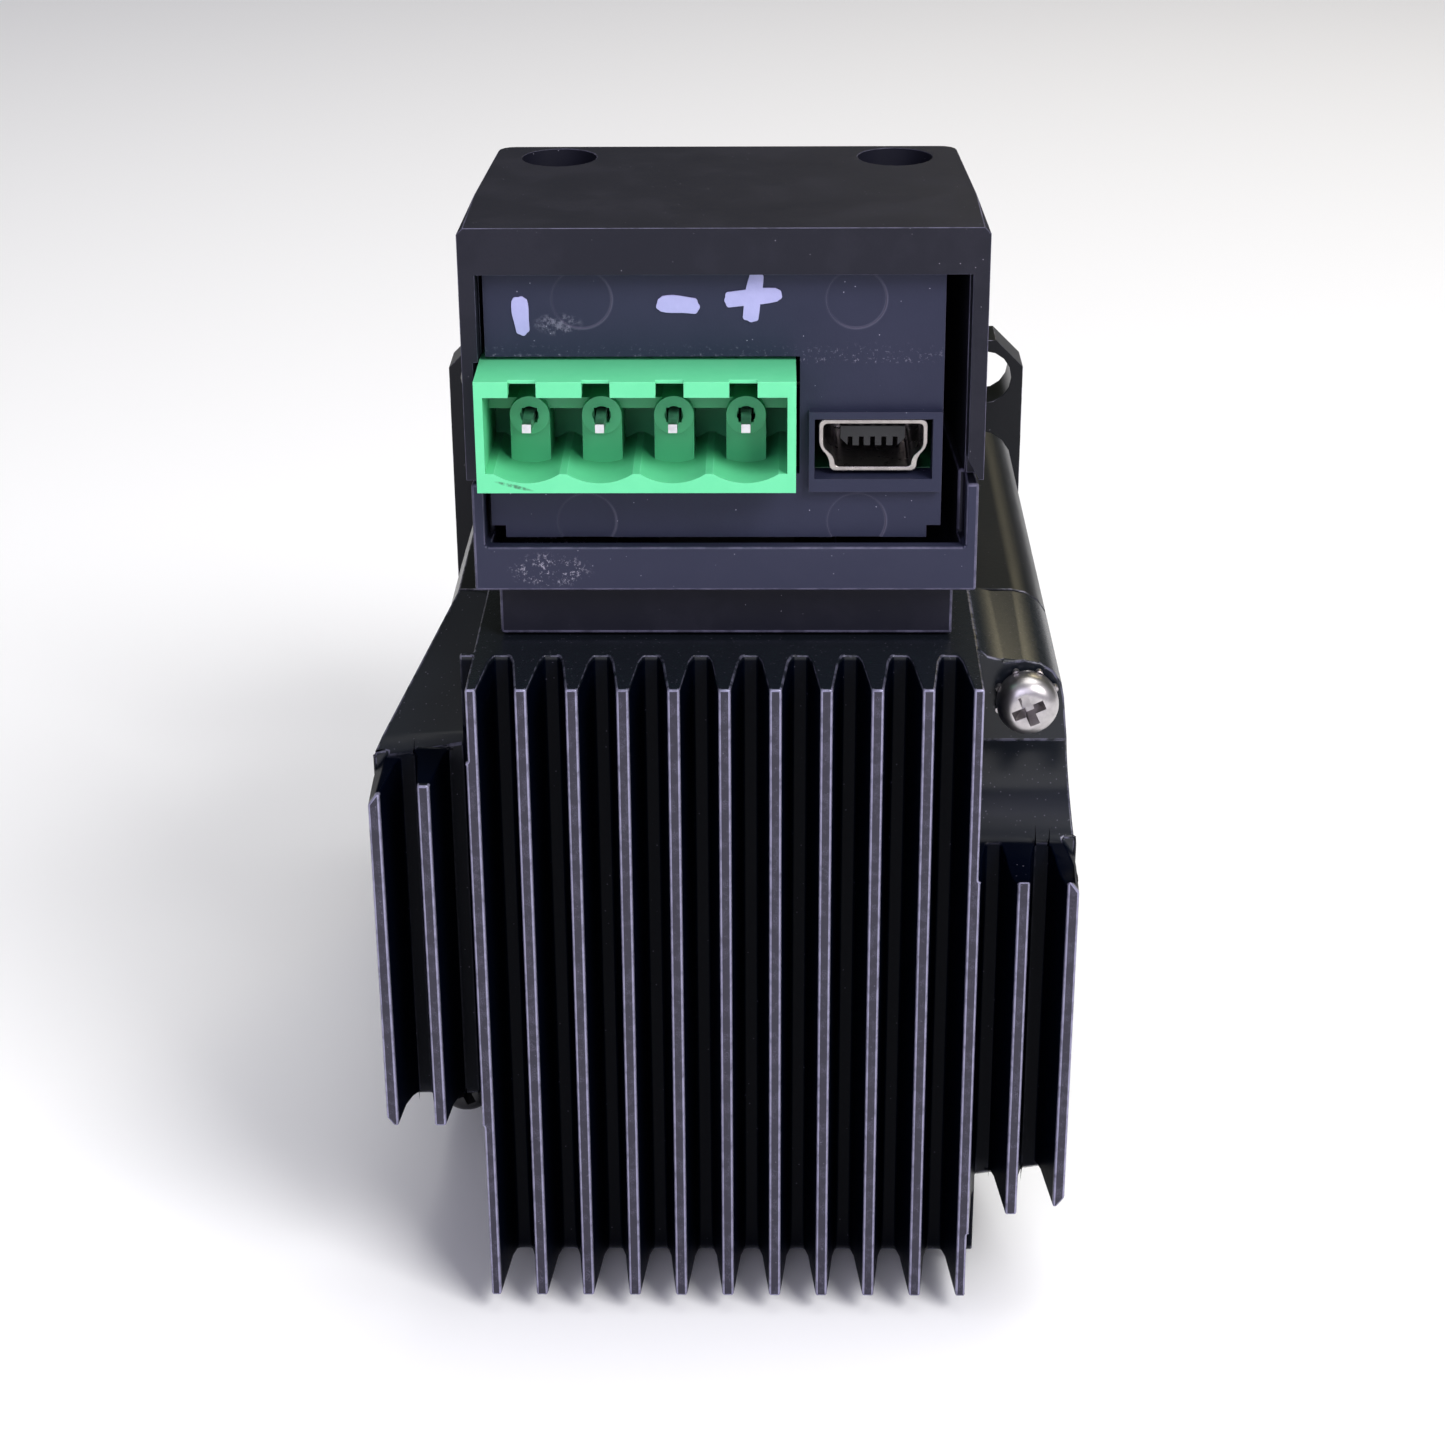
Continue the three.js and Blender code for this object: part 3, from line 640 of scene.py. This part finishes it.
lights = {
    "key": {"place": (400, -430, 520), "size": 340, "power": 5.4, "colour": (1.0, 0.99, 0.98)},
    "front": {"place": (-160, -600, 330), "size": 420, "power": 1.5, "colour": (0.84, 0.82, 1.0)},
    "top": {"place": (80, 130, 620), "size": 460, "power": 2.1, "colour": (1.0, 1.0, 0.96)},
    "rear": {"place": (190, 560, 300), "size": 140, "power": 0.18, "colour": (1.0, 0.88, 0.58)},
}


def addLights():
    aim = at(0, 20, 5)
    for name, light in lights.items():
        data = bpy.data.lights.new(name, "AREA")
        data.size = light["size"] * mm
        data.energy = light["power"]
        data.color = light["colour"]
        lamp = bpy.data.objects.new(name, data)
        bpy.context.scene.collection.objects.link(lamp)
        lamp.location = at(*light["place"])
        lamp.rotation_euler = (aim - lamp.location).to_track_quat("-Z", "Y").to_euler()


def addWorld():
    world = bpy.data.worlds.new("studio")
    world.use_nodes = True
    tree = world.node_tree
    background = tree.nodes["Background"]
    coords = tree.nodes.new("ShaderNodeTexCoord")
    parts = tree.nodes.new("ShaderNodeSeparateXYZ")
    ramp = tree.nodes.new("ShaderNodeValToRGB")
    shift = tree.nodes.new("ShaderNodeMapRange")
    shift.inputs["From Min"].default_value = -1
    stops = [(0.0, (0.62, 0.60, 0.80, 1)), (0.5, (0.80, 0.80, 0.86, 1)),
             (0.72, (0.22, 0.23, 0.20, 1)), (1.0, (0.10, 0.11, 0.08, 1))]
    for i, (place, colour) in enumerate(stops):
        stop = ramp.color_ramp.elements[i] if i < 2 else ramp.color_ramp.elements.new(place)
        stop.position = place
        stop.color = colour
    tree.links.new(coords.outputs["Generated"], parts.inputs[0])
    tree.links.new(parts.outputs["Y"], shift.inputs["Value"])
    tree.links.new(shift.outputs[0], ramp.inputs[0])
    tree.links.new(ramp.outputs[0], background.inputs["Color"])
    background.inputs["Strength"].default_value = 0.50
    bpy.context.scene.world = world


addCamera()
addFloor()
addLights()
addWorld()
bpy.context.scene.view_settings.view_transform = "Standard"
print("camera, floor and lights ready")


# ---- castings: the drive housing, the motor body and the front end bell
def castings():
    housing = roundOff(copyOf("heatSink", "heat_sink_housing"), 0.15, 2, clamp=False)
    fit(housing, "cast_black", material["cast_black"], "heat_sink_housing")
    body = roundOff(copyOf("motorShell", "motor_body"), 0.25, 2)
    fit(body, "body_black", material["body_black"], "motor_body")
    bell = roundOff(copyOf("frontBell", "front_end_bell"), 0.3, 2)
    fit(bell, "body_black", material["body_black"], "front_end_bell")


castings()
print("castings ready")

# ---- connector box
box = {"front": 7.3, "split": 38.6, "openHalf": 17.15, "plateFront": 8.7, "plateThick": 1.6,
       "plateSides": (-16.75, 15.4), "plateHeight": (33.8, 53.2)}


def connectorBox():
    hood = copyOf("connectorHood", "connector_hood")
    # the right wall's inner corner is cut back at its lower end
    inner, split = box["openHalf"], box["split"]
    corner = [(inner - 1, split - 1), (inner + 0.75, split - 1), (inner + 0.75, split + 0.15),
              (inner - 0.1, split + 1.7), (inner - 1, split + 1.7)]
    cut(hood, pushed("cutter", corner, box["front"] - 1, box["front"] + 1.6))
    fit(roundOff(hood, 0.22, 3), "box_plastic", material["box_plastic"], "connector_hood")
    base = copyOf("connectorBase", "connector_box_base")
    fit(roundOff(base, 0.2, 3), "box_plastic", material["box_plastic"], "connector_box_base")
    left, right = box["plateSides"]
    front = box["plateFront"]
    plate = block("facePlate", (left, right), (front, front + box["plateThick"]), box["plateHeight"])
    fuse(plate, block("rim", (5.95, 15.35), (front - 0.8, front + 0.5), (37.5, 43.4)))
    # the windows for the header and the USB socket
    cut(plate, block("cutter", (-17, 5.3), (6, 12), (38.6, 47.26)),
        block("cutter", (6.34, 14.68), (6, 12), (38.45, 42.9)))
    for side in (left, right):
        cut(plate, block("cutter", span(side, 2), (7, 12), (33, 34.7)))
    for x, z in ejector["places"]:
        cut(plate, rod("cutter", (x, front - 1 + ejector["depth"], z), ejector["radius"], 2, 64))
    roundOff(plate, 0.05, 2)
    fit(plate, "plate_plastic", material["plate_plastic"], "connector_face_plate")


connectorBox()
print("connector box ready")

# ---- terminal header and its pins
header = {"left": -17.2, "right": 5.0, "low": 38.9, "high": 46.96, "front": 3.8, "back": 15.8,
          "side": 0.6, "roof": 0.75, "lip": 1.13, "lipDepth": 1.1, "notch": 1.95, "setBack": 0.5,
          "arcLow": 39.62, "arcRadius": 4.2, "cusp": 40.3, "deep": 13.0, "collar": 8.0}
pin = {"first": -13.72, "pitch": 5.08, "high": 43.2, "size": 1.0, "front": 5.0, "legY": 16.75,
       "legLow": 36.3}
pinPlaces = [pin["first"] + i * pin["pitch"] for i in range(4)]


def headerFloor():
    # four shallow arcs between low ridges, closed off above by a straight line
    left, right = header["left"] + header["side"], header["right"] - header["side"]
    centre = header["arcLow"] + header["arcRadius"]
    reach = math.degrees(math.acos((centre - header["cusp"]) / header["arcRadius"]))
    outline = [(left, 42.5), (left, header["cusp"])]
    for x in pinPlaces:
        outline += arc(x, centre, header["arcRadius"], 270 - reach, 270 + reach, 12)
    return [*outline, (right, header["cusp"]), (right, 42.5)]


def terminalHeader():
    left, right = header["left"], header["right"]
    inside = (left + header["side"], right - header["side"])
    piece = block("terminalHeader", (left, right), (header["front"], header["back"]),
                  (header["low"], header["high"]))
    roofLow = header["high"] - header["roof"]
    lipLow = header["high"] - header["lip"]
    cut(piece, block("cutter", inside, (header["front"] - 1, header["deep"]), (42, lipLow)),
        block("cutter", inside, (header["front"] + header["lipDepth"], header["deep"]),
              (lipLow - 1, roofLow)),
        pushed("cutter", headerFloor(), header["front"] - 1, header["deep"]))
    for x in pinPlaces:
        notch = span(x - 0.15, header["notch"])
        cut(piece, block("cutter", notch, (header["front"] - 1, header["front"] + 2),
                         (lipLow - 1, header["high"] - 0.24)),
            block("cutter", notch, (header["front"] - 1, header["front"] + header["setBack"]),
                  (roofLow - 1, header["high"] + 1)))
    # solid feet and round collars carry the pins, tied together by a rib
    front = header["collar"]
    for x in pinPlaces:
        foot = block("foot", span(x, 2.8), (front + 0.3, 14), (39.2, pin["high"]))
        collar = rod("collar", (x, (front + 14) / 2, pin["high"]), 1.4, 14 - front, 32)
        fuse(piece, foot, collar)
    fuse(piece, block("rib", (inside[0] - 0.2, inside[1] + 0.2), (front + 0.7, 14), (43.5, 44.3)))
    for x in pinPlaces:
        cut(piece, rod("cutter", (x, front, pin["high"]), 0.66, 1.0, 24),
            block("cutter", span(x, 1.08), (front - 1, 17), span(pin["high"], 1.08)))
    fit(roundOff(piece, 0.09, 2), "terminal_green", material["terminal_green"], "terminal_header")


def headerPins():
    half = pin["size"] / 2
    for i, x in enumerate(pinPlaces):
        piece = block(f"headerPin{i + 1}", span(x, pin["size"]), (pin["front"], pin["legY"] + half),
                      span(pin["high"], pin["size"]))
        squeeze(piece, (0.62, 1, 0.62), (x, pin["front"], pin["high"]),
                lambda first, second: max(first.y, second.y) < at(0, pin["front"] + 0.1, 0).y)
        leg = block("leg", span(x, pin["size"]), span(pin["legY"], pin["size"]),
                    (pin["legLow"], pin["high"] + half))
        fuse(piece, leg)
        fit(roundOff(piece, 0.08, 2), "tin_pin", material["tin_pin"], f"header_pin_{i + 1}")


terminalHeader()
headerPins()
print("header ready")

# ---- small USB socket
usb = {"left": 6.64, "right": 14.38, "low": 38.75, "high": 42.6, "front": 8.8, "back": 17.8,
       "step": 0.75, "stepHigh": 40.55, "stepLow": 39.75, "thick": 0.34, "corner": 0.45,
       "middle": 10.5, "contactPitch": 0.8}


def usbOutline(inset):
    left, right = usb["left"] + inset, usb["right"] - inset
    low, high = usb["low"] + inset, usb["high"] - inset
    step = usb["step"] + inset * 0.2
    return [(left, high), (left, usb["stepHigh"]), (left + step, usb["stepLow"]), (left + step, low),
            (right - step, low), (right - step, usb["stepLow"]), (right, usb["stepHigh"]), (right, high)]


def alongSocket(first, second):
    return abs((first - second).normalized().y) > 0.9


def usbSocket():
    shell = bevelWhere(pushed("usbShell", usbOutline(0), usb["front"], usb["back"]),
                       usb["corner"], 4, alongSocket)
    hollow = bevelWhere(pushed("cutter", usbOutline(usb["thick"]), usb["front"] - 1, usb["back"] - 0.4),
                        usb["corner"] * 0.7, 4, alongSocket)
    cut(shell, hollow)
    roundOff(shell, 0.08, 3, 50)
    fit(shell, "usb_nickel", material["usb_nickel"], "usb_shell")
    outline = [(8.2, 41.75), (8.2, 40.85), (8.75, 40.3), (12.25, 40.3), (12.8, 40.85), (12.8, 41.75)]
    tongue = pushed("usbTongue", outline, usb["front"] + 1.1, usb["back"] - 0.9)
    fuse(tongue, block("core", (8.3, 12.7), (usb["front"] + 5.5, usb["back"] - 0.7), (39.6, 42.0)))
    for i in range(5):
        x = usb["middle"] + (i - 2) * usb["contactPitch"]
        cut(tongue, block("cutter", span(x, 0.34), (usb["front"], usb["front"] + 4), (40.1, 40.95)))
    fit(roundOff(tongue, 0.05, 1), "chip_black", material["chip_black"], "usb_tongue")
    pickNothing()
    contacts = None
    for i in range(5):
        x = usb["middle"] + (i - 2) * usb["contactPitch"]
        contact = block("usbContacts", span(x, 0.3), (usb["front"] + 1.6, usb["front"] + 5), (41.76, 41.9))
        contacts = contact if contacts is None else joined(contacts, contact)
    fit(contacts, "usb_nickel", material["usb_nickel"])


def joined(first, second):
    pick(first, second)
    bpy.ops.object.join()
    return first


usbSocket()
print("USB socket ready")

# ---- housing screws with toothed washers
screw = {"head": 2.25, "rise": 1.95, "round": 1.25, "slot": 0.8, "slotLong": 3.2, "depth": 1.5,
         "shank": 1.5, "long": 21.0}
washer = {"inner": 1.75, "outer": 2.12, "teeth": 8, "tooth": 0.27, "toothAt": 2.16}


def panHead(name, x, seat, z):
    piece = rod(name, (x, seat - screw["rise"] / 2, z), screw["head"], screw["rise"], 48)
    front = at(0, seat - screw["rise"] + 0.01, 0).y
    return bevelWhere(piece, screw["round"], 10,
                      lambda first, second: max(first.y, second.y) < front)


def crossRecess(x, seat, z, turn):
    # two crossing wedges, narrower at the bottom
    face = seat - screw["rise"]
    wedges = []
    for across in (0, 90):
        wedge = block("cutter", span(x, screw["slotLong"]), (face - 1, face + screw["depth"]),
                      span(z, screw["slot"]))
        squeeze(wedge, (0.4, 1, 0.8), (x, face, z),
                lambda first, second: min(first.y, second.y) > at(0, face, 0).y)
        wedges.append(turned(wedge, turn + across, (x, face, z)))
    return wedges


def housingScrews():
    for i in (1, 2):
        (left, right), (front, back), (low, high) = place(f"star_washer_{i}")
        x, z = (left + right) / 2, (low + high) / 2
        plate = rod(f"toothedWasher{i}", (x, (front + back) / 2, z), washer["outer"], back - front)
        for tooth in range(washer["teeth"]):
            angle = math.radians(360 * (tooth + 0.5) / washer["teeth"])
            across, up = washer["toothAt"] * math.cos(angle), washer["toothAt"] * math.sin(angle)
            nub = rod("tooth", (x + across, (front + back) / 2, z + up), washer["tooth"],
                      back - front, 12)
            fuse(plate, nub)
        cut(plate, rod("cutter", (x, back, z), washer["inner"], 3, 32))
        # painted shade: the second screw and its washer are really nickel like the first, and the black
        # finish darkens them
        finish = "nickel" if i == 1 else "screw_black"
        fit(roundOff(plate, 0.05, 2, 40), finish, material[finish], f"star_washer_{i}")
        seat = place(f"housing_screw_{i}")[1][0] + screw["rise"] + 0.05
        piece = cut(panHead(f"panScrew{i}", x, seat, z), *crossRecess(x, seat, z, 24))
        fuse(piece, rod("shank", (x, seat + screw["long"] / 2 - 0.2, z), screw["shank"],
                        screw["long"] + 0.4, 32))
        fit(roundOff(piece, 0.05, 2, 40), finish, material[finish], f"housing_screw_{i}")


housingScrews()
print("screws ready")

# ---- hand-painted marks: flat blobs of paint on the plate
paint = {"thick": 0.10, "strokes": {
    "markBar": [((-14.15, 50.25), (1.15, 2.8), 5)],
    "markMinus": [((-3.2, 51.0), (3.0, 1.25), -4)],
    "markPlus": [((2.0, 51.55), (4.0, 1.15), 6), ((2.05, 51.6), (1.15, 3.7), -8)],
}}


def stroke(name, centre, size, turn):
    # a dab of paint: a long round-ended outline with an uneven edge
    long, thin = max(size), min(size)
    lean = math.radians(turn + (90 if size[1] > size[0] else 0))
    outline = []
    for i in range(40):
        angle = 2 * math.pi * i / 40
        uneven = 1 + 0.07 * math.sin(3 * angle + centre[0]) + 0.05 * math.sin(7 * angle + size[0] * 9)
        along = ((long - thin) / 2 * max(-1, min(1, 2.2 * math.cos(angle)))
                 + thin / 2 * math.cos(angle) * uneven)
        aside = thin / 2 * math.sin(angle) * uneven
        outline.append((centre[0] + along * math.cos(lean) - aside * math.sin(lean),
                        centre[1] + along * math.sin(lean) + aside * math.cos(lean)))
    return pushed(name, outline, box["plateFront"] - paint["thick"], box["plateFront"] + 0.04)


def marks():
    for name, strokes in paint["strokes"].items():
        parts = [stroke(name, *spec) for spec in strokes]
        piece = fuse(parts[0], *parts[1:])
        fit(roundOff(piece, 0.035, 2), "plate_plastic", material["paint"])


marks()
print("marks ready")


# ---- everything that keeps its CAD shape gets a finished material, and the listed ones get softer edges
def carriedOver():
    slots = {entry["node"]: entry["material_slot"] for entry in frame["record"]["subparts"]}
    bodies = frame["record"]["behaviour"]["bodies"]
    for node, piece in frame["nodes"].items():
        piece.data.materials.clear()
        piece.data.materials.append(material[slots[node]])
    softer = {"shaft": 0.15, "end_bell_screw_1": 0.15, "end_bell_screw_2": 0.15, "end_bell_screw_3": 0.15,
              "end_bell_screw_4": 0.15, "hood_screw_1": 0.12, "hood_screw_2": 0.12,
              "bus_capacitor_1": 0.3, "bus_capacitor_2": 0.3, "stator_windings": 0.6,
              "connector_board": 0.08}
    for node, width in softer.items():
        body = next(name for name, members in bodies.items() if node in members)
        piece = roundOff(copyOf(f"{node}_finished", node), width, 2)
        fit(piece, slots[node], material[slots[node]], node, body=body)


carriedOver()
print("carried-over nodes ready")
